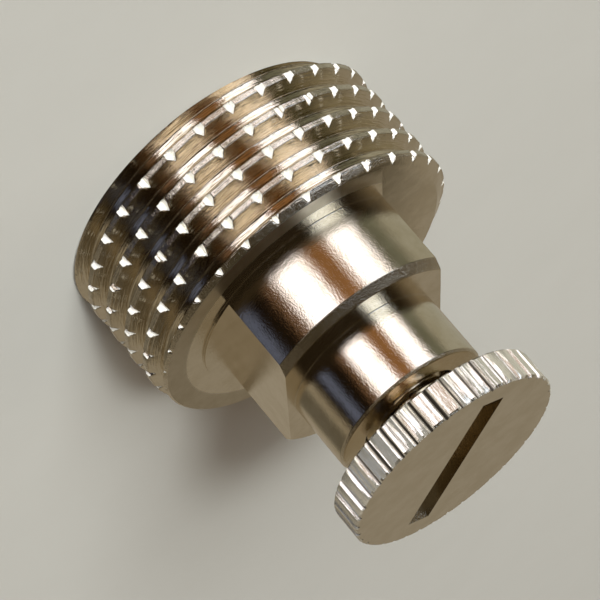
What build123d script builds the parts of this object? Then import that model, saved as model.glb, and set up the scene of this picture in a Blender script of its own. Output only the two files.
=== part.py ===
from build123d import *
import os
from math import acos, cos, degrees, radians, sin, tan

os.makedirs("parts", exist_ok=True)

# The axis of the part is Z, the threaded end stands on Z = 0 and the head is on top.
# All lengths are in millimetres and all angles in degrees.

# Pipe thread G 1/2 on the outside of the plug
thread_major_d = 20.955
thread_pitch = 1.814
thread_angle = 55.0
thread_depth = 0.97
thread_crest = 0.36
thread_length = 9.0
thread_first_crest = 1.0465      # height of the lowest whole crest on the +X side
entry_chamfer = 0.32             # on the rim that stands on the floor
shoulder_chamfer = 0.42          # between the last turn and the shoulder

# Notches that run across the crests and hold hemp or sealing cord
notch_count = 30
notch_depth = 0.40
notch_width = 0.60

# Boss with two wrench flats
boss_d = 15.0
boss_length = 5.4
boss_chamfer = 0.5
across_flats = 11.0
flats_angle = -15.0              # direction that the first flat faces
first_flat_dip = 0.08            # the cutter marked the shoulder under the first flat
second_flat_land = 0.15          # and stopped short of it under the second one

# Tube above the boss
tube_d = 10.0
tube_length = 4.4
tube_chamfer = 0.15

# Air way through the plug
inlet_d = 14.0
inlet_depth = 7.5
inlet_chamfer = 0.4
air_hole_d = 2.5
seat_height = 11.2

# Bleed screw with its soft pad, M6 shank in the plug's bore
shank_d = 6.0
shank_clearance = 0.05           # between the shank and the bore, all round
shank_chamfer = 0.4
bore_chamfer = 0.3
pad_d = 4.4
pad_thickness = 1.4
pad_clearance = 0.05             # between the pad and its pocket, all round
pad_proud = 0.3                  # how far the pad stands out of its pocket

# Head of the bleed screw
head_d = 14.0
head_thickness = 2.2
head_gap = 1.8                   # free height under the head when the screw is closed
knurl_count = 40
knurl_phase = 8.0
knurl_depth = 0.28
knurl_width = 0.42
slot_angle = 46.0
slot_width = 1.65
slot_depth = 1.4
slot_run = 3.9                   # travel of the disc cutter
slot_cutter_d = 10.0

# Heights that follow from the sizes above
boss_top = thread_length + boss_length
tube_top = boss_top + tube_length
head_bottom = tube_top + head_gap
head_top = head_bottom + head_thickness
shank_end = seat_height + pad_proud
pad_top = seat_height + pad_thickness

# Radii that follow from the sizes above
thread_r = thread_major_d / 2
boss_r = boss_d / 2
tube_r = tube_d / 2
inlet_r = inlet_d / 2
air_r = air_hole_d / 2
shank_r = shank_d / 2
bore_r = shank_r + shank_clearance
pocket_r = pad_d / 2 + pad_clearance
head_r = head_d / 2

# Thread groove: straight flanks down to a flat root
flank_slope = tan(radians(thread_angle / 2))
groove_half = (thread_pitch - thread_crest) / 2
root_half = groove_half - thread_depth * flank_slope
cutter_lift = 0.12                     # how far the cutters stand out of the material
groove_mouth_half = groove_half + cutter_lift * flank_slope
groove_start = thread_first_crest - 1.5 * thread_pitch
groove_turns = int((thread_length - groove_start) / thread_pitch) + 2

# Notches, flats, knurl and slot
notch_mouth_half = notch_width / 2 * (1 + cutter_lift / notch_depth)
knurl_mouth_half = knurl_width / 2 * (1 + cutter_lift / knurl_depth)
flat_reach = thread_r
flat_dir = Vector(cos(radians(flats_angle)), sin(radians(flats_angle)), 0)
first_flat = Location(flat_dir * (across_flats / 2), (0, 0, flats_angle))
second_flat = Location(flat_dir * (-across_flats / 2), (0, 0, flats_angle + 180))
slot_dir = Vector(cos(radians(slot_angle)), sin(radians(slot_angle)), 0)
slot_plane = Plane(origin=(0, 0, 0), x_dir=slot_dir, z_dir=slot_dir.cross(Vector(0, 0, 1)))
slot_floor_height = head_top - slot_depth
cutter_centre = slot_floor_height + slot_cutter_d / 2
slot_sweep = degrees(acos(1 - 2 * (slot_depth + cutter_lift) / slot_cutter_d))

# Plug: one turned piece with the thread, the shoulder, the flatted boss and the tube
with BuildPart() as plug_body:
    with BuildSketch(Plane.XZ):
        with BuildLine():
            Polyline(
                (inlet_r + inlet_chamfer, 0),
                (thread_r - entry_chamfer, 0),
                (thread_r, entry_chamfer),
                (thread_r, thread_length - shoulder_chamfer),
                (thread_r - shoulder_chamfer, thread_length),
                (boss_r, thread_length),
                (boss_r, boss_top - boss_chamfer),
                (boss_r - boss_chamfer, boss_top),
                (tube_r, boss_top),
                (tube_r, tube_top - tube_chamfer),
                (tube_r - tube_chamfer, tube_top),
                (bore_r + bore_chamfer, tube_top),
                (bore_r, tube_top - bore_chamfer),
                (bore_r, seat_height),
                (air_r, seat_height),
                (air_r, inlet_depth),
                (inlet_r, inlet_depth),
                (inlet_r, inlet_chamfer),
                close=True,
            )
        make_face()
    revolve(axis=Axis.Z)

    # The thread groove follows a right-hand helix, one turn at a time, and runs out at both ends
    for turn in range(groove_turns):
        turn_start = groove_start + turn * thread_pitch
        with BuildLine():
            Helix(thread_pitch, thread_pitch, thread_r, center=(0, 0, turn_start))
        with BuildSketch(Plane(origin=(thread_r, 0, turn_start), x_dir=(1, 0, 0), z_dir=(0, -1, 0))):
            with BuildLine():
                Polyline(
                    (cutter_lift, -groove_mouth_half),
                    (-thread_depth, -root_half),
                    (-thread_depth, root_half),
                    (cutter_lift, groove_mouth_half),
                    close=True,
                )
            make_face()
        sweep(is_frenet=True, mode=Mode.SUBTRACT)

    # Notches across the crests, in line from turn to turn
    with BuildSketch(Plane.XY.offset(-cutter_lift)):
        with PolarLocations(thread_r, notch_count):
            Polygon((cutter_lift, -notch_mouth_half), (cutter_lift, notch_mouth_half), (-notch_depth, 0), align=None)
    extrude(amount=thread_length + 2 * cutter_lift, mode=Mode.SUBTRACT)

    # Two milled wrench flats: the first dips into the shoulder, the second leaves a thin round land
    with BuildSketch(Plane.XY.offset(thread_length - first_flat_dip)):
        with Locations(first_flat):
            Rectangle(flat_reach, 2 * thread_r, align=(Align.MIN, Align.CENTER))
    extrude(amount=boss_length + first_flat_dip + cutter_lift, mode=Mode.SUBTRACT)
    with BuildSketch(Plane.XY.offset(thread_length + second_flat_land)):
        with Locations(second_flat):
            Rectangle(flat_reach, 2 * thread_r, align=(Align.MIN, Align.CENTER))
    extrude(amount=boss_length - second_flat_land + cutter_lift, mode=Mode.SUBTRACT)

plug_body.part.label = "plug_body"
export_step(plug_body.part, "parts/plug_body.step")

# Soft seal pad, loose in the nose of the screw so that it does not turn on its seat
with BuildPart() as seal_pad:
    with BuildSketch(Plane.XY.offset(seat_height)):
        Circle(pad_d / 2)
    extrude(amount=pad_thickness)

seal_pad.part.label = "seal_pad"
export_step(seal_pad.part, "parts/seal_pad.step")

# Bleed screw: one turned piece with the pocket for the pad, the shank and the head
with BuildPart() as bleed_screw:
    with BuildSketch(Plane.XZ):
        with BuildLine():
            Polyline(
                (0, pad_top),
                (pocket_r, pad_top),
                (pocket_r, shank_end),
                (shank_r - shank_chamfer, shank_end),
                (shank_r, shank_end + shank_chamfer),
                (shank_r, head_bottom),
                (head_r, head_bottom),
                (head_r, head_top),
                (0, head_top),
                close=True,
            )
        make_face()
    revolve(axis=Axis.Z)

    # Straight knurl round the rim of the head
    with BuildSketch(Plane.XY.offset(head_bottom - cutter_lift)):
        with PolarLocations(head_r, knurl_count, start_angle=knurl_phase):
            Polygon((cutter_lift, -knurl_mouth_half), (cutter_lift, knurl_mouth_half), (-knurl_depth, 0), align=None)
    extrude(amount=head_thickness + 2 * cutter_lift, mode=Mode.SUBTRACT)

    # Screwdriver slot, cut with a disc, so that its floor rises to both ends
    with BuildSketch(slot_plane):
        with BuildLine():
            slot_floor = Line((-slot_run / 2, slot_floor_height), (slot_run / 2, slot_floor_height))
            right_end = CenterArc((slot_run / 2, cutter_centre), slot_cutter_d / 2, -90, slot_sweep)
            left_end = CenterArc((-slot_run / 2, cutter_centre), slot_cutter_d / 2, -90 - slot_sweep, slot_sweep)
            Line(right_end @ 1, left_end @ 0)
        make_face()
    extrude(amount=slot_width / 2, both=True, mode=Mode.SUBTRACT)

bleed_screw.part.label = "bleed_screw"
export_step(bleed_screw.part, "parts/bleed_screw.step")
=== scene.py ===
import math

import bmesh
import bpy
import numpy as np
from mathutils import Matrix, Vector


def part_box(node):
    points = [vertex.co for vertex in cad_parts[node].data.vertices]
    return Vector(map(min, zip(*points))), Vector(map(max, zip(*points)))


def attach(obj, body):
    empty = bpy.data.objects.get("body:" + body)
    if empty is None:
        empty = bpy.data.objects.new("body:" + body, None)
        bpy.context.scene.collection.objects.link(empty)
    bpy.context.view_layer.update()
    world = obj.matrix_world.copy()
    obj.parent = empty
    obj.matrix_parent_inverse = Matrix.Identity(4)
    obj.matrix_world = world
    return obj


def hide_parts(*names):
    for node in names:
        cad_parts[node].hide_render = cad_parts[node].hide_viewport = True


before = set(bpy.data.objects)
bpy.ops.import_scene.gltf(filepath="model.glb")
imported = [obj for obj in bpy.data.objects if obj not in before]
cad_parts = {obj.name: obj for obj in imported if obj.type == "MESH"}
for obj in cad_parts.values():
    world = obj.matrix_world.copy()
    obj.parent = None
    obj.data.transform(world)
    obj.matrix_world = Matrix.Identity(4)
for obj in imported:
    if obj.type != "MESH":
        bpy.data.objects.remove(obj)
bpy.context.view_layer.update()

# All lengths are in metres, in the frame of the CAD part, and all angles in degrees.
MM = 0.001

# Heights that the frame gives
TUBE_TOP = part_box("plug_body")[1].z
SHANK_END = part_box("bleed_screw")[0].z
HEAD_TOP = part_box("bleed_screw")[1].z

# Pipe thread
THREAD_R = 20.955 / 2 * MM
THREAD_PITCH = 1.814 * MM
THREAD_CREST = 0.36 * MM
THREAD_DEPTH = 0.97 * MM
THREAD_TOP = 9.0 * MM
THREAD_HALF_ANGLE = 27.5
CREST_ROUND = 0.13 * MM
ROOT_ROUND = 0.12 * MM
FLANK_ROWS = (0.25, 0.38, 0.50)
FIRST_CREST = 1.0465 * MM
ENTRY_CHAMFER = 0.32 * MM
SHOULDER_CHAMFER = 0.42 * MM
NOTCH_COUNT = 30
NOTCH_DEPTH = 0.40 * MM
NOTCH_WIDTH = 0.60 * MM
NOTCH_START = 0.75 * MM
NOTCH_SHARES = (0.74, 1.04)      # shallowest and deepest notch, as shares of NOTCH_DEPTH
NOTCH_CURVE = 1.3                # 1 is a sharp V, more is rounder at the bottom
NO_NOTCH = -1.0                  # a depth so far outside the thread that it cuts nothing
NOTCH_COLUMNS = (-1.25, -1, -0.85, -0.5, 0, 0.5, 0.85, 1, 1.25)
CREST_COLUMNS = (0.12, 0.25, 0.38, 0.5, 0.62, 0.75, 0.88)
CREST_UNEVEN = 0.045 * MM
CREST_BLEND = 5 * CREST_UNEVEN   # depth below the crest at which the unevenness has faded
CREST_OWN = 0.7                  # share of a column's own unevenness
CREST_NEXT = 0.3                 # and of that of the column next to it
TURN_ROWS = 12                   # rows of random numbers, more than the thread has turns
TURN_SHIFT = 3                   # keeps the lowest turn's row at 0 or more
PLUG_SEED = 7

# Boss, tube and the air way inside
BOSS_R = 7.5 * MM
BOSS_TOP = 14.4 * MM
BOSS_CHAMFER = 0.5 * MM
ACROSS_FLATS = 11.0 * MM
FLATS_ANGLE = -15.0
FIRST_FLAT_DIP = 0.08 * MM
SECOND_FLAT_LAND = 0.15 * MM
TUBE_R = 5.0 * MM
TUBE_CHAMFER = 0.15 * MM
INLET_R = 7.0 * MM
INLET_DEPTH = 7.5 * MM
INLET_CHAMFER = 0.4 * MM
AIR_R = 1.25 * MM
SEAT_HEIGHT = 11.2 * MM
BORE_R = 3.05 * MM
BORE_CHAMFER = 0.3 * MM

# Bleed screw
SHANK_R = 3.0 * MM
SHANK_PITCH = 1.0 * MM
SHANK_CREST = 0.14 * MM
SHANK_THREAD_DEPTH = 0.55 * MM
SHANK_HALF_ANGLE = 30.0
SHANK_CREST_ROUND = 0.3 * SHANK_CREST
SHANK_ROOT_ROUND = 0.05 * MM
SHANK_RUN_OUT = 1.5              # how fast the thread gains height below the neck
SHANK_CHAMFER = 0.4 * MM
NECK_LENGTH = 0.5 * MM
NECK_RINGS = (                   # radius, and depth below the head
    (SHANK_R + 0.3 * MM, 0.0),
    (SHANK_R - 0.1 * MM, 0.05 * MM),
    (SHANK_R - SHANK_THREAD_DEPTH, 0.3 * MM),
)
POCKET_R = 2.25 * MM
POCKET_TOP = 12.6 * MM
POCKET_CHAMFER = 0.1 * MM
POCKET_MIDDLE_R = 0.3 * POCKET_R
HEAD_R = 7.0 * MM
HEAD_MIDDLE_R = 0.4 * HEAD_R
HEAD_THICKNESS = 2.2 * MM
HEAD_BOTTOM = HEAD_TOP - HEAD_THICKNESS
HEAD_CHAMFER = 0.12 * MM
KNURL_COUNT = 40
KNURL_PHASE = 8.0
KNURL_DEPTH = 0.28 * MM
KNURL_WIDTH = 0.42 * MM
KNURL_SHARES = (0.75, 1.15)      # shallowest and deepest groove, as shares of KNURL_DEPTH
KNURL_COLUMNS = (-1, -0.5, 0, 0.5, 1)
TOOTH_COLUMNS = (0.16, 0.34, 0.52, 0.7, 0.86)
TOOTH_UNEVEN = 0.05 * MM
SLOT_ANGLE = 46.0
SLOT_WIDTH = 1.65 * MM
SLOT_DEPTH = 1.4 * MM
SLOT_RUN = 3.9 * MM
SLOT_CUTTER_R = 5.0 * MM
SLOT_ABOVE = 0.5 * MM            # how far the cutter stands out of the face
SLOT_STEPS = 16
SCREW_SEED = 11

# How turned edges are rounded, where the smooth shading breaks and how close corners merge
EDGE_ROUND = 0.035 * MM
CORNER_SHARE = 0.3               # largest share of a side that a rounded corner takes
SUPPORT_REACH = 1.6              # how far off the support points stand, in reaches of the corner
SHARP_ANGLE = 38.0
MERGE_DISTANCE = 1e-8


# Profiles

def rounded(profile, radii=EDGE_ROUND, steps=3):
    """A profile with each inner corner rounded, and held by a support point on each side.

    A radius of 0 keeps a corner sharp.
    """
    points = [np.array(p, float) for p in profile]
    out = [points[0]]
    corner_radii = np.broadcast_to(radii, len(points) - 2)
    for before, corner, after, radius in zip(points, points[1:], points[2:], corner_radii):
        if radius == 0:
            out.append(corner)
            continue
        to_before, to_after = before - corner, after - corner
        length_before, length_after = np.linalg.norm(to_before), np.linalg.norm(to_after)
        reach = min(radius, CORNER_SHARE * length_before, CORNER_SHARE * length_after)
        start = corner + to_before / length_before * reach
        end = corner + to_after / length_after * reach
        out.append(corner + (start - corner) * SUPPORT_REACH)
        for step in range(steps + 1):
            t = step / steps
            out.append((1 - t) ** 2 * start + 2 * t * (1 - t) * corner + t ** 2 * end)
        out.append(corner + (end - corner) * SUPPORT_REACH)
    out.append(points[-1])
    return out


def thread_profile(pitch, crest, depth, half_angle, crest_round, root_round, steps, flank_rows):
    """Heights over one pitch from crest middle to crest middle, and the depth below the crest at each."""
    flank = depth * math.tan(math.radians(half_angle))
    corners = [(0, 0), (crest / 2, 0), (crest / 2 + flank, depth), (pitch / 2, depth)]
    outline = [tuple(p) for p in rounded(corners, (crest_round, root_round), steps)]
    outline += [(crest / 2 + share * flank, share * depth) for share in flank_rows]
    outline.sort()
    mirrored = [(pitch - height, below) for height, below in reversed(outline[:-1])]
    heights, depths = zip(*(outline + mirrored))
    return np.array(heights), np.array(depths)


# Meshes made of rings

def grid_faces(rows, columns, shift=0, first=0):
    """Quads of a grid that closes round its columns. The seam joins row i to row i + shift."""
    faces = []
    for row in range(rows - 1):
        for column in range(columns - 1):
            a = first + row * columns + column
            faces.append((a, a + 1, a + 1 + columns, a + columns))
        if row + shift + 1 < rows:
            a = first + row * columns + columns - 1
            b = first + (row + shift) * columns
            faces.append((a, b, b + columns, a + columns))
    return faces


def polar(azimuths, radii, heights):
    """Points from arrays of azimuth in degrees, radius and height."""
    turn = np.radians(azimuths)
    return np.stack([radii * np.cos(turn), radii * np.sin(turn), heights], axis=-1).reshape(-1, 3)


def helical_rows(azimuths, low, high, pitch, crest_height, profile):
    """Heights of rows that climb with a right-hand helix, held between low and high.

    The second value is the number of rows a turn.
    """
    heights, _ = profile
    steps = heights[:-1]
    first_turn = math.floor((low - crest_height) / pitch) - 1
    last_turn = math.ceil((high - crest_height) / pitch) + 1
    rows = np.concatenate([crest_height + turn * pitch + steps for turn in range(first_turn, last_turn)])
    climb = pitch * (azimuths - azimuths[0]) / 360
    return np.clip(rows[:, None] + climb[None, :], low, high), len(steps)


def helical_radii(azimuths, heights, crest_r, pitch, crest_height, profile):
    """Radius of a right-hand thread at each azimuth and height."""
    phase = (heights - crest_height - pitch * (azimuths - azimuths[0])[None, :] / 360) % pitch
    return crest_r - np.interp(phase, *profile)


def make_object(name, points, faces):
    """An object with merged corners and normals that face outwards."""
    mesh = bpy.data.meshes.new(name)
    mesh.from_pydata([tuple(p) for p in points], [], faces)
    bm = bmesh.new()
    bm.from_mesh(mesh)
    bmesh.ops.remove_doubles(bm, verts=bm.verts, dist=MERGE_DISTANCE)
    bmesh.ops.dissolve_degenerate(bm, edges=bm.edges, dist=MERGE_DISTANCE)
    bmesh.ops.recalc_face_normals(bm, faces=bm.faces)
    bm.to_mesh(mesh)
    bm.free()
    obj = bpy.data.objects.new(name, mesh)
    bpy.context.scene.collection.objects.link(obj)
    return obj


def smooth(obj):
    """Smooth shading that breaks at edges sharper than SHARP_ANGLE."""
    obj.data.shade_smooth()
    obj.data.set_sharp_from_angle(angle=math.radians(SHARP_ANGLE))


def cut(obj, cutter):
    """Takes the cutter's volume out of obj and removes the cutter."""
    modifier = obj.modifiers.new("cut", "BOOLEAN")
    modifier.operation = "DIFFERENCE"
    modifier.solver = "EXACT"
    modifier.object = cutter
    with bpy.context.temp_override(object=obj, active_object=obj):
        bpy.ops.object.modifier_apply(modifier=modifier.name)
    bpy.data.objects.remove(cutter)


def block(name, low, high, turn):
    """A box from low to high, turned about the Z axis."""
    corners = [(x, y, z) for x in (low[0], high[0]) for y in (low[1], high[1]) for z in (low[2], high[2])]
    turned = [Matrix.Rotation(math.radians(turn), 3, "Z") @ Vector(c) for c in corners]
    faces = [(0, 1, 3, 2), (4, 6, 7, 5), (0, 4, 5, 1), (2, 3, 7, 6), (0, 2, 6, 4), (1, 5, 7, 3)]
    return make_object(name, turned, faces)


def column_offsets(edge, period, near, rest):
    """Azimuths of the columns round one groove at 0, which is edge wide to each side.

    The near ones are given in edges, the rest as shares of the land up to the next groove.
    """
    return np.array([share * edge for share in near] + [edge + (period - 2 * edge) * share for share in rest])


# Plug

def build_plug():
    """The threaded plug, as one closed mesh."""
    rng = np.random.default_rng(PLUG_SEED)
    edge = math.degrees(NOTCH_WIDTH / 2 / THREAD_R)
    period = 360 / NOTCH_COUNT
    offsets = column_offsets(edge, period, NOTCH_COLUMNS, CREST_COLUMNS)
    azimuths = np.concatenate([k * period + offsets for k in range(NOTCH_COUNT)])
    notch_of_column = np.repeat(np.arange(NOTCH_COUNT), len(offsets))
    offset_of_column = np.tile(offsets, NOTCH_COUNT)
    profile = thread_profile(THREAD_PITCH, THREAD_CREST, THREAD_DEPTH, THREAD_HALF_ANGLE,
                             CREST_ROUND, ROOT_ROUND, steps=2, flank_rows=FLANK_ROWS)
    crest_height = FIRST_CREST + THREAD_PITCH * azimuths[0] / 360
    heights, shift = helical_rows(azimuths, 0, THREAD_TOP, THREAD_PITCH, crest_height, profile)
    radii = helical_radii(azimuths, heights, THREAD_R, THREAD_PITCH, crest_height, profile)

    # The chamfers at both ends of the thread
    radii = np.minimum(radii, THREAD_R - ENTRY_CHAMFER + heights)
    radii = np.minimum(radii, THREAD_R - SHOULDER_CHAMFER + (THREAD_TOP - heights))

    # Crests that the die left uneven
    turns = np.rint((heights - crest_height - THREAD_PITCH * (azimuths - azimuths[0]) / 360) / THREAD_PITCH)
    turns = (turns.astype(int) + TURN_SHIFT) % TURN_ROWS
    low_crest = rng.uniform(0, CREST_UNEVEN, size=(TURN_ROWS, len(azimuths)))
    low_crest = CREST_OWN * low_crest + CREST_NEXT * np.roll(low_crest, 1, axis=1)
    near_crest = np.clip(1 - (THREAD_R - radii) / CREST_BLEND, 0, 1)
    radii = radii - near_crest * low_crest[turns, np.arange(len(azimuths))]

    # The notches, each a little deeper or shallower than the next
    depth_share = rng.uniform(*NOTCH_SHARES, size=(TURN_ROWS, NOTCH_COUNT))[turns, notch_of_column]
    across = np.abs(offset_of_column) / edge
    notch = NOTCH_DEPTH * depth_share * (1 - across ** NOTCH_CURVE)
    notch = np.where((across <= 1) & (heights > NOTCH_START), notch, NO_NOTCH)
    radii = np.minimum(radii, THREAD_R - notch)
    thread = polar(np.broadcast_to(azimuths, heights.shape), radii, heights)

    # The turned rest: shoulder, boss, tube and bore, whose edges are rounded
    outside = [
        (THREAD_R - SHOULDER_CHAMFER - THREAD_DEPTH, THREAD_TOP),
        (BOSS_R, THREAD_TOP),
        (BOSS_R, BOSS_TOP - BOSS_CHAMFER),
        (BOSS_R - BOSS_CHAMFER, BOSS_TOP),
        (TUBE_R, BOSS_TOP),
        (TUBE_R, TUBE_TOP - TUBE_CHAMFER),
        (TUBE_R - TUBE_CHAMFER, TUBE_TOP),
        (BORE_R + BORE_CHAMFER, TUBE_TOP),
        (BORE_R, TUBE_TOP - BORE_CHAMFER),
    ]

    # Seat, air hole and inlet, whose edges stay sharp
    inside = [
        (BORE_R, SEAT_HEIGHT),
        (AIR_R, SEAT_HEIGHT),
        (AIR_R, INLET_DEPTH),
        (INLET_R, INLET_DEPTH),
        (INLET_R, INLET_CHAMFER),
        (INLET_R + INLET_CHAMFER, 0),
        (THREAD_R - ENTRY_CHAMFER - THREAD_DEPTH, 0),
    ]
    rings = rounded(outside + inside, [EDGE_ROUND] * (len(outside) - 1) + [0] * (len(inside) - 1))
    columns = len(azimuths)
    turned = [polar(azimuths, np.full(columns, r), np.full(columns, z)) for r, z in rings]
    points = np.concatenate([thread] + turned)
    thread_rows = len(heights)
    faces = grid_faces(thread_rows, columns, shift)
    faces += grid_faces(len(rings) + 1, columns, 0, (thread_rows - 1) * columns)
    last = (thread_rows + len(rings) - 1) * columns
    faces += [(last + c, last + (c + 1) % columns, (c + 1) % columns, c) for c in range(columns)]
    plug = make_object("plug", points, faces)

    # The wrench flats
    far = 2 * THREAD_R
    flat_x = ACROSS_FLATS / 2
    top_corner = (far, far, TUBE_TOP - MM)
    cut(plug, block("flat_a", (flat_x, -far, THREAD_TOP - FIRST_FLAT_DIP), top_corner, FLATS_ANGLE))
    cut(plug, block("flat_b", (flat_x, -far, THREAD_TOP + SECOND_FLAT_LAND), top_corner, FLATS_ANGLE + 180))
    smooth(plug)
    return plug


# Bleed screw

def build_screw():
    """The bleed screw, as one closed mesh."""
    rng = np.random.default_rng(SCREW_SEED)
    edge = math.degrees(KNURL_WIDTH / 2 / HEAD_R)
    period = 360 / KNURL_COUNT
    offsets = column_offsets(edge, period, KNURL_COLUMNS, TOOTH_COLUMNS)
    azimuths = np.concatenate([KNURL_PHASE + k * period + offsets for k in range(KNURL_COUNT)])
    columns = len(azimuths)
    depth_share = np.repeat(rng.uniform(*KNURL_SHARES, KNURL_COUNT), len(offsets))
    offset_of_column = np.tile(offsets, KNURL_COUNT)
    groove = np.clip(1 - np.abs(offset_of_column) / edge, 0, None) * KNURL_DEPTH * depth_share
    uneven = rng.uniform(0, TOOTH_UNEVEN, columns) * (offset_of_column > edge)
    tooth_r = HEAD_R - groove - uneven

    # The head, from the middle of its face down to the shank
    top_ring = np.full(columns, HEAD_TOP)
    inside_knurl = np.full(columns, HEAD_R - KNURL_DEPTH - 2 * HEAD_CHAMFER)
    chamfered = np.minimum(tooth_r, HEAD_R - HEAD_CHAMFER)
    head = [
        (np.full(columns, HEAD_MIDDLE_R), top_ring),
        (inside_knurl, top_ring),
        (chamfered, top_ring),
        (tooth_r, top_ring - HEAD_CHAMFER),
        (tooth_r, top_ring - 0.5 * HEAD_THICKNESS),
        (tooth_r, top_ring - HEAD_THICKNESS + HEAD_CHAMFER),
        (chamfered, top_ring - HEAD_THICKNESS),
        (inside_knurl, top_ring - HEAD_THICKNESS),
    ]
    head += [(np.full(columns, r), top_ring - HEAD_THICKNESS - below) for r, below in NECK_RINGS]
    head_points = [polar(azimuths, r, z) for r, z in head]

    # The shank's thread starts below a short neck
    thread_top = HEAD_BOTTOM - NECK_LENGTH
    profile = thread_profile(SHANK_PITCH, SHANK_CREST, SHANK_THREAD_DEPTH, SHANK_HALF_ANGLE,
                             SHANK_CREST_ROUND, SHANK_ROOT_ROUND, steps=1, flank_rows=())
    heights, shift = helical_rows(azimuths, SHANK_END, thread_top, SHANK_PITCH, 0.0, profile)
    radii = helical_radii(azimuths, heights, SHANK_R, SHANK_PITCH, 0.0, profile)
    radii = np.minimum(radii, SHANK_R - SHANK_CHAMFER + (heights - SHANK_END))
    radii = np.minimum(radii, SHANK_R - SHANK_THREAD_DEPTH + (thread_top - heights) * SHANK_RUN_OUT)
    shank = polar(np.broadcast_to(azimuths, heights.shape), radii, heights)
    thread_rows = len(heights)

    # The pocket for the pad
    pocket = [
        (POCKET_R + POCKET_CHAMFER, SHANK_END),
        (POCKET_R, SHANK_END + POCKET_CHAMFER),
        (POCKET_R, POCKET_TOP),
        (POCKET_MIDDLE_R, POCKET_TOP),
    ]
    pocket_points = [polar(azimuths, np.full(columns, r), np.full(columns, z)) for r, z in pocket]

    # Rows run from the pocket up to the face
    points = np.concatenate([*reversed(pocket_points), shank, *reversed(head_points)])
    pocket_rows = len(pocket)
    faces = grid_faces(pocket_rows + 1, columns)
    faces += grid_faces(thread_rows, columns, shift, pocket_rows * columns)
    faces += grid_faces(len(head) + 1, columns, 0, (pocket_rows + thread_rows - 1) * columns)
    last = (pocket_rows + thread_rows + len(head) - 1) * columns
    faces.append(tuple(range(columns)))
    faces.append(tuple(last + c for c in range(columns)))
    screw = make_object("screw", points, faces)

    cut(screw, slot_cutter())
    smooth(screw)
    return screw


def slot_cutter():
    """The space that the disc cutter sweeps in the head."""
    floor = HEAD_TOP - SLOT_DEPTH
    above = HEAD_TOP + SLOT_ABOVE
    sweep = math.acos((SLOT_CUTTER_R - (above - floor)) / SLOT_CUTTER_R)
    angles = [sweep * k / SLOT_STEPS for k in range(SLOT_STEPS + 1)]
    arc = [(SLOT_RUN / 2 + SLOT_CUTTER_R * math.sin(angle), floor + SLOT_CUTTER_R * (1 - math.cos(angle)))
           for angle in angles]
    outline = [(-u, z) for u, z in reversed(arc)] + arc
    turn = Matrix.Rotation(math.radians(SLOT_ANGLE), 3, "Z")
    points = [turn @ Vector((u, side * SLOT_WIDTH / 2, z)) for side in (-1, 1) for u, z in outline]
    count = len(outline)
    faces = [tuple(range(count)), tuple(range(count, 2 * count))]
    faces += [(k, (k + 1) % count, count + (k + 1) % count, count + k) for k in range(count)]
    return make_object("slot_cutter", points, faces)


# Shader helpers

class Nodes:
    """Short calls that add and join nodes in one tree."""

    def __init__(self, tree):
        self.tree = tree

    def put(self, kind, settings=None, **inputs):
        node = self.tree.nodes.new(kind)
        for key, value in (settings or {}).items():
            setattr(node, key, value)
        for key, value in inputs.items():
            self.feed(node.inputs[key.replace("_", " ")], value)
        return node

    def feed(self, socket, value):
        if isinstance(value, bpy.types.NodeSocket):
            self.tree.links.new(value, socket)
        else:
            socket.default_value = value

    def maths(self, operation, *values):
        node = self.tree.nodes.new("ShaderNodeMath")
        node.operation = operation
        for socket, value in zip(node.inputs, values):
            self.feed(socket, value)
        return node.outputs[0]

    def ramp(self, value, low, high, out_low=0.0, out_high=1.0, smooth=True):
        node = self.tree.nodes.new("ShaderNodeMapRange")
        node.interpolation_type = "SMOOTHSTEP" if smooth else "LINEAR"
        for socket, number in zip(node.inputs, (value, low, high, out_low, out_high)):
            self.feed(socket, number)
        return node.outputs[0]

    def band(self, value, low, high, soft):
        """1 between low and high, and 0 outside, with soft edges."""
        rise = self.ramp(value, low - soft, low + soft)
        fall = self.ramp(value, high - soft, high + soft, 1.0, 0.0)
        return self.maths("MULTIPLY", rise, fall)

    def mix(self, factor, first, second):
        node = self.tree.nodes.new("ShaderNodeMix")
        node.data_type = "RGBA"
        self.feed(node.inputs[0], factor)
        for socket, value in ((node.inputs[6], first), (node.inputs[7], second)):
            self.feed(socket, (*value, 1.0) if isinstance(value, tuple) else value)
        return node.outputs[2]


# Materials

# Noises, with their scale a metre
GRAIN = dict(Scale=8500.0, Detail=3.0, Roughness=0.65)
WAVE = dict(Scale=1500.0, Detail=1.0, Roughness=0.5)
STAIN = dict(Scale=620.0, Detail=5.0, Roughness=0.65)
RUBBER_GRAIN = dict(Scale=9000.0, Detail=3.0, Roughness=0.6)
MOTTLE = dict(Scale=160.0, Detail=5.0, Roughness=0.6)

# Noise for coordinates that are already stretched, and how dense these are across and along the marks
STRETCHED = dict(Scale=1.0, Detail=2.0, Roughness=0.6)
LINE_ACROSS = 7500.0
LINE_ALONG = 4.0
SCRATCH_ACROSS = 11000.0
SCRATCH_ALONG = 500.0

# Heights of the bump, in millimetres
GRAIN_HEIGHT = 0.011
CHAMFER_GRAIN = 0.05
WAVE_HEIGHT = 0.006
LINES_OUTSIDE = 0.003            # height of the turned lines outside the thread
LINES_IN_THREAD = 0.068
NOTCH_GRAIN = 0.045
CREST_GRAIN = 0.026
THREAD_GRAIN_CUT = 0.005         # taken off the grain in the thread
SCRATCH_HEIGHT = 0.03

# How much of the wear shows, what it leaves of the metal, and what wear and the painted shade in the knurl's
# grooves add to the roughness
CREST_WEAR = 0.2
KNURL_WEAR = 0.6
THREAD_METALLIC = 0.5
KNURL_METALLIC = 0.6
SHOULDER_DULL = 0.30
WORN_DULL = 0.2
GROOVE_SHADE_DULL = 0.25

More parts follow.
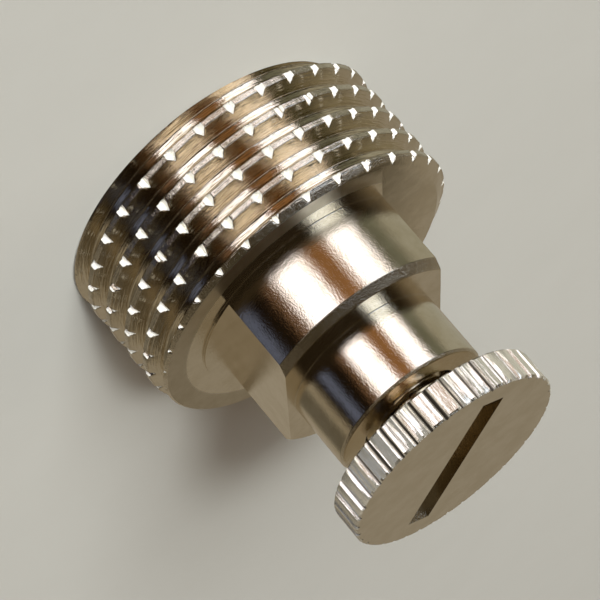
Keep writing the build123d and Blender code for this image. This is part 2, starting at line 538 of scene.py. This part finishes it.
# Colours
WORN_COLOUR = (0.92, 0.88, 0.79)
# Painted shade: the dark brown painted into the bottoms of the knurl's grooves
GROOVE_SHADE_COLOUR = (0.055, 0.042, 0.026)
PLUG_TINT = (0.68, 0.60, 0.465)
SCREW_TINT = (0.68, 0.605, 0.475)


def turned_coordinates(n):
    """Position with its x, y and z, radius, and the z share of the normal, all in the piece's own space."""
    coordinates = n.put("ShaderNodeTexCoord")
    where = coordinates.outputs["Object"]
    x, y, z = n.put("ShaderNodeSeparateXYZ", Vector=where).outputs
    radius = n.maths("SQRT", n.maths("ADD", n.maths("MULTIPLY", x, x), n.maths("MULTIPLY", y, y)))
    facing_up = n.put("ShaderNodeSeparateXYZ", Vector=coordinates.outputs["Normal"]).outputs["Z"]
    return where, x, y, z, radius, facing_up


def worn_thread(n, x, y, z, radius):
    """Masks of the notches and of the crests of the pipe thread, where the tools left the metal rough."""
    degrees = n.maths("MULTIPLY", n.maths("ARCTAN2", y, x), 180 / math.pi)
    phase = n.maths("FRACT", n.maths("ADD", n.maths("MULTIPLY", degrees, NOTCH_COUNT / 360), 0.5))
    offset = n.maths("MULTIPLY", n.maths("ABSOLUTE", n.maths("SUBTRACT", phase, 0.5)), 360 / NOTCH_COUNT)
    edge = math.degrees(NOTCH_WIDTH / 2 / THREAD_R)
    reach = n.ramp(offset, 0.0, edge, 1.10 * NOTCH_DEPTH, 0.03 * MM, smooth=False)
    above = n.maths("SUBTRACT", radius, n.maths("SUBTRACT", THREAD_R, reach))
    notch = n.maths("MULTIPLY", n.ramp(above, 0.0, 0.01 * MM),
                    n.ramp(offset, 0.97 * edge, 1.03 * edge, 1.0, 0.0))
    crest = n.ramp(radius, THREAD_R - 0.12 * MM, THREAD_R - 0.06 * MM)
    inside = n.band(z, NOTCH_START, THREAD_TOP - 0.08 * MM, 0.03 * MM)
    return n.maths("MULTIPLY", notch, inside), n.maths("MULTIPLY", crest, inside)


def knurl_wear_and_shade(n, z, radius, facing_up):
    """Masks of the knurled rim, where the wheel left the metal rough, and of the painted shade that darkens
    the bottoms of its grooves.
    """
    rim = n.ramp(radius, HEAD_R - 0.5 * MM, HEAD_R - 0.45 * MM)
    side = n.ramp(n.maths("ABSOLUTE", facing_up), 0.55, 0.8, 1.0, 0.0)
    side = n.maths("MULTIPLY", n.maths("MULTIPLY", rim, side), n.ramp(z, HEAD_BOTTOM - 0.2 * MM, HEAD_BOTTOM))
    # Painted shade: the deeper into a knurl groove, the darker it is painted
    deep = n.ramp(radius, HEAD_R - 0.21 * MM, HEAD_R - 0.09 * MM, 0.9, 0.0)
    return side, n.maths("MULTIPLY", side, deep)


def nickel(name, tint, place):
    """Bright nickel over turned brass, with orange peel, faint stains and the marks of its place."""
    material = bpy.data.materials.new(name)
    material.use_nodes = True
    tree = material.node_tree
    shader = tree.nodes["Principled BSDF"]
    n = Nodes(tree)
    where, x, y, z, radius, facing_up = turned_coordinates(n)
    chamfer = n.band(facing_up, 0.62, 0.8, 0.04)
    grain_size = n.maths("ADD", n.maths("MULTIPLY", chamfer, CHAMFER_GRAIN), GRAIN_HEIGHT)

    # Orange peel of the plating: a fine grain on a slow wave
    grain = n.put("ShaderNodeTexNoise", Vector=where, **GRAIN)
    wave = n.put("ShaderNodeTexNoise", Vector=where, **WAVE)
    smooth_height = n.maths("MULTIPLY", wave.outputs["Fac"], WAVE_HEIGHT)

    # Colour drifts a little between warm and grey, in blotches with a finer mottle
    stain = n.put("ShaderNodeTexNoise", Vector=where, **STAIN)
    blotch = n.ramp(stain.outputs["Fac"], 0.32, 0.68)
    bright = tuple(1.04 * part for part in tint)
    warm = (tint[0] * 0.93, tint[1] * 0.91, tint[2] * 0.86)
    colour = n.mix(blotch, bright, warm)
    rough = n.ramp(stain.outputs["Fac"], 0.3, 0.75, 0.05, 0.09, smooth=False)

    if place == "thread":
        # Long turned lines in the grooves, crinkled crests and torn notches
        notch, crest = worn_thread(n, x, y, z, radius)
        in_thread = n.maths("MULTIPLY", n.ramp(radius, THREAD_R - 1.2 * MM, THREAD_R - 1.0 * MM),
                            n.ramp(z, THREAD_TOP - 0.5 * MM, THREAD_TOP - 0.4 * MM, 1.0, 0.0))
        across = n.maths("MULTIPLY", radius, LINE_ACROSS)
        down = n.maths("MULTIPLY", z, LINE_ACROSS)
        round_x = n.maths("MULTIPLY", n.maths("DIVIDE", x, radius), LINE_ALONG)
        arcs = n.put("ShaderNodeCombineXYZ", X=across, Y=down, Z=round_x)
        round_y = n.maths("MULTIPLY", n.maths("DIVIDE", y, radius), LINE_ALONG)
        line = n.put("ShaderNodeTexNoise", {"noise_dimensions": "4D"}, Vector=arcs.outputs[0], W=round_y,
                     **STRETCHED)
        line_height = n.ramp(in_thread, 0, 1, LINES_OUTSIDE, LINES_IN_THREAD, smooth=False)
        lines = n.maths("MULTIPLY", line.outputs["Fac"], line_height)
        smooth_height = n.maths("ADD", smooth_height, lines)
        torn = n.maths("ADD", n.maths("MULTIPLY", notch, NOTCH_GRAIN),
                       n.maths("MULTIPLY", crest, CREST_GRAIN))
        finer = n.maths("MULTIPLY", in_thread, THREAD_GRAIN_CUT)
        grain_size = n.maths("ADD", grain_size, n.maths("SUBTRACT", torn, finer))
        worn = n.maths("MAXIMUM", notch, n.maths("MULTIPLY", crest, CREST_WEAR))
        metallic = n.ramp(worn, 0.3, 1.0, 1.0, THREAD_METALLIC, smooth=False)

        # The shoulder was turned with a coarse feed, so it is duller away from the boss
        away = n.ramp(radius, BOSS_R + 1.1 * MM, BOSS_R + 1.3 * MM)
        face = n.maths("MULTIPLY", n.ramp(facing_up, 0.85, 0.95),
                       n.ramp(z, THREAD_TOP - 0.05 * MM, THREAD_TOP - 0.02 * MM))
        shoulder = n.maths("MULTIPLY", away, face)
        rough = n.maths("ADD", rough, n.maths("MULTIPLY", shoulder, SHOULDER_DULL))
    else:
        # Scratches along the knurl, and painted shade that darkens the bottoms of its grooves
        worn, groove_shade = knurl_wear_and_shade(n, z, radius, facing_up)
        worn = n.maths("MULTIPLY", worn, KNURL_WEAR)
        metallic = n.ramp(worn, 0.3, 1.0, 1.0, KNURL_METALLIC, smooth=False)
        metallic = n.maths("MAXIMUM", metallic, groove_shade)
        stretched = n.put("ShaderNodeCombineXYZ", X=n.maths("MULTIPLY", x, SCRATCH_ACROSS),
                          Y=n.maths("MULTIPLY", y, SCRATCH_ACROSS), Z=n.maths("MULTIPLY", z, SCRATCH_ALONG))
        scratch = n.put("ShaderNodeTexNoise", Vector=stretched.outputs[0], **STRETCHED)
        scratches = n.maths("MULTIPLY", n.maths("MULTIPLY", scratch.outputs["Fac"], worn), SCRATCH_HEIGHT)
        smooth_height = n.maths("ADD", smooth_height, scratches)

    colour = n.mix(worn, colour, WORN_COLOUR)
    # Painted shade: the bottoms of the knurl's grooves are painted dark brown and made rougher
    if place == "knurl":
        colour = n.mix(groove_shade, colour, GROOVE_SHADE_COLOUR)
        rough = n.maths("ADD", rough, n.maths("MULTIPLY", groove_shade, GROOVE_SHADE_DULL))
    height = n.maths("ADD", n.maths("MULTIPLY", grain.outputs["Fac"], grain_size), smooth_height)
    bump = n.put("ShaderNodeBump", Strength=1.0, Distance=MM, Height=height)
    n.feed(shader.inputs["Base Color"], colour)
    n.feed(shader.inputs["Roughness"], n.maths("ADD", rough, n.maths("MULTIPLY", worn, WORN_DULL)))
    n.feed(shader.inputs["Metallic"], metallic)
    n.feed(shader.inputs["Normal"], bump.outputs[0])
    return material


def rubber(name):
    """Matt black rubber with a fine grain."""
    material = bpy.data.materials.new(name)
    material.use_nodes = True
    tree = material.node_tree
    shader = tree.nodes["Principled BSDF"]
    n = Nodes(tree)
    where = n.put("ShaderNodeTexCoord").outputs["Object"]
    grain = n.put("ShaderNodeTexNoise", Vector=where, **RUBBER_GRAIN)
    bump = n.put("ShaderNodeBump", Strength=0.6, Distance=0.01 * MM, Height=grain.outputs["Fac"])
    colour = n.mix(grain.outputs["Fac"], (0.012, 0.012, 0.012), (0.035, 0.034, 0.032))
    n.feed(shader.inputs["Base Color"], colour)
    n.feed(shader.inputs["Roughness"], n.ramp(grain.outputs["Fac"], 0.3, 0.7, 0.5, 0.75, smooth=False))
    n.feed(shader.inputs["Normal"], bump.outputs[0])
    return material


def floor_material():
    """Pale grey board with a very faint mottle."""
    material = bpy.data.materials.new("floor")
    material.use_nodes = True
    tree = material.node_tree
    shader = tree.nodes["Principled BSDF"]
    n = Nodes(tree)
    where = n.put("ShaderNodeTexCoord").outputs["Object"]
    mottle = n.put("ShaderNodeTexNoise", Vector=where, **MOTTLE)
    colour = n.mix(mottle.outputs["Fac"], (0.535, 0.525, 0.480), (0.560, 0.550, 0.505))
    n.feed(shader.inputs["Base Color"], colour)
    shader.inputs["Roughness"].default_value = 0.7
    shader.inputs["Specular IOR Level"].default_value = 0.2
    return material


# Stage

FLOOR_HALF = 2.0

# The world that mirror rays see, fitted to the reflections in the photo.
# Its lower half, as first azimuth, last azimuth, softness and colour:
LOW_COLOUR = (0.345, 0.305, 0.235)
LOW_BANDS = (
    (-2, 173, 6, (0.012, 0.008, 0.005)),
    (-6, 20, 4, (0.18, 0.185, 0.14)),
    (50, 79, 2, (0.32, 0.16, 0.068)),
    (106, 121, 2.5, (0.19, 0.11, 0.065)),
    (-70, -6, 6, (0.40, 0.395, 0.33)),
    (-173, -134, 4, (0.14, 0.125, 0.095)),
)
LOW_DARK = (0.012, 0.009, 0.005)
LOW_BLUE = (0.13, 0.155, 0.25)
STRIPS = ((22, 50), (77, 108))   # azimuths of the bright strips
HIGH_BACK = (0.32, 0.285, 0.225)
HIGH_FRONT = (0.020, 0.015, 0.010)
HIGH_MIDDLE = (0.115, 0.100, 0.074)
HIGH_TOP = (0.040, 0.031, 0.019)
WINDOW = (2.1, 2.5, 3.3)

# The one dim colour that all other rays see
AMBIENT = (0.060, 0.038, 0.018)

# Lamps: name, azimuth, elevation, distance, size, power and colour
LAMPS = (
    ("key", 77, 20, 2.40, 1.25, 98.0, (0.95, 0.99, 1.0)),
    ("core", 79, 31, 2.40, 0.30, 35.0, (0.95, 0.99, 1.0)),
    ("side", -10, 40, 0.35, 0.25, 0.12, (1.0, 0.93, 0.82)),
    ("fill", 60, 78, 1.5, 1.20, 1.2, (1.0, 0.58, 0.30)),
)

# The camera, at the viewing angle of the photo
CAMERA_LENS = 194.3
CAMERA_PLACE = (-0.776, 174.498, 78.716)   # in millimetres
CAMERA_RIGHT = (0.76341, -0.23909, 0.60003)
CAMERA_UP = (0.64591, 0.28258, -0.70918)


def build_floor():
    """A plain floor. Mirror rays pass it and meet the lower half of the world, and it casts no shadow."""
    size = FLOOR_HALF
    corners = [(-size, -size, 0), (size, -size, 0), (size, size, 0), (-size, size, 0)]
    floor = make_object("floor", corners, [(0, 1, 2, 3)])
    floor.data.materials.append(floor_material())
    floor.visible_glossy = False
    floor.visible_shadow = False


def build_world():
    """Bands of light and dark that only mirror rays see, and a dim ambient colour for all others."""
    world = bpy.data.worlds.new("studio")
    bpy.context.scene.world = world
    world.use_nodes = True
    tree = world.node_tree
    n = Nodes(tree)
    direction = n.put("ShaderNodeTexCoord").outputs["Generated"]
    split = n.put("ShaderNodeSeparateXYZ", Vector=direction)
    x, y, z = split.outputs
    azimuth = n.maths("MULTIPLY", n.maths("ARCTAN2", y, x), 180 / math.pi)
    elevation = n.maths("MULTIPLY", n.maths("ARCSINE", z), 180 / math.pi)

    # The lower half: its bands, darker towards straight down, and over them the bright strips
    low = LOW_COLOUR
    for start, end, soft, colour in LOW_BANDS:
        low = n.mix(n.band(azimuth, start, end, soft), low, colour)
    low = n.mix(n.ramp(elevation, -48, -24, 0.86, 0.0, smooth=False), low, LOW_DARK)
    blue = n.maths("MULTIPLY", n.band(azimuth, 144, 158, 1.5), n.ramp(elevation, -36, -28))
    low = n.mix(blue, low, LOW_BLUE)
    for start, end in STRIPS:
        brightness = n.ramp(elevation, -65, -22, 0.7, 2.4, smooth=False)
        strip = n.put("ShaderNodeCombineColor", Red=brightness, Green=n.maths("MULTIPLY", brightness, 0.99),
                      Blue=n.maths("MULTIPLY", brightness, n.ramp(elevation, -48, -22, 0.95, 1.15)))
        low = n.mix(n.band(azimuth, start, end, 1.2), low, strip.outputs[0])

    # The upper half: beige at the back, dark towards the front and above, with one tall window
    high = n.mix(n.band(azimuth, -20, 200, 25), HIGH_BACK, HIGH_FRONT)
    high = n.mix(n.ramp(elevation, 25, 37), high, HIGH_MIDDLE)
    high = n.mix(n.ramp(elevation, 38, 62), high, HIGH_TOP)
    window = n.maths("MULTIPLY", n.band(azimuth, 22, 50, 1.5), n.band(elevation, 11, 31, 3))
    high = n.mix(window, high, WINDOW)

    colour = n.mix(n.ramp(elevation, -1.5, 1.5), low, high)
    seen_in_metal = n.put("ShaderNodeLightPath").outputs["Is Glossy Ray"]
    background = tree.nodes["Background"]
    n.feed(background.inputs["Color"], n.mix(seen_in_metal, AMBIENT, colour))
    background.inputs["Strength"].default_value = 1.0


def area_light(name, azimuth, elevation, distance, size, power, colour):
    """A round soft lamp that faces the origin and isn't itself seen in the metal."""
    light = bpy.data.lights.new(name, "AREA")
    light.shape = "DISK"
    light.size = size
    light.energy = power
    light.color = colour
    obj = bpy.data.objects.new(name, light)
    turn, rise = math.radians(azimuth), math.radians(elevation)
    direction = Vector((math.cos(rise) * math.cos(turn), math.cos(rise) * math.sin(turn), math.sin(rise)))
    obj.location = direction * distance
    obj.rotation_euler = direction.to_track_quat("Z", "Y").to_euler()
    obj.visible_glossy = False
    bpy.context.scene.collection.objects.link(obj)


def build_lights():
    for lamp in LAMPS:
        area_light(*lamp)


def build_camera():
    data = bpy.data.cameras.new("camera")
    data.sensor_width = 36.0
    data.lens = CAMERA_LENS
    data.clip_start = 0.01
    data.clip_end = 10.0
    camera = bpy.data.objects.new("camera", data)
    right = Vector(CAMERA_RIGHT)
    up = Vector(CAMERA_UP)
    back = right.cross(up).normalized()
    rotation = Matrix((right, back.cross(right), back)).transposed()
    camera.matrix_world = Matrix.LocRotScale(Vector(CAMERA_PLACE) * MM, rotation, None)
    bpy.context.scene.collection.objects.link(camera)
    bpy.context.scene.camera = camera


bpy.context.scene.view_settings.view_transform = "Standard"

plug = build_plug()
plug.data.materials.clear()
plug.data.materials.append(nickel("nickel_plug", PLUG_TINT, "thread"))
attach(plug, "plug")
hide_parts("plug_body")

screw = build_screw()
screw.data.materials.clear()
screw.data.materials.append(nickel("nickel_screw", SCREW_TINT, "knurl"))
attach(screw, "screw")
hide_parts("bleed_screw")

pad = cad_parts["seal_pad"]
pad.data.materials.clear()
pad.data.materials.append(rubber("rubber_seal"))

build_floor()
build_world()
build_lights()
build_camera()
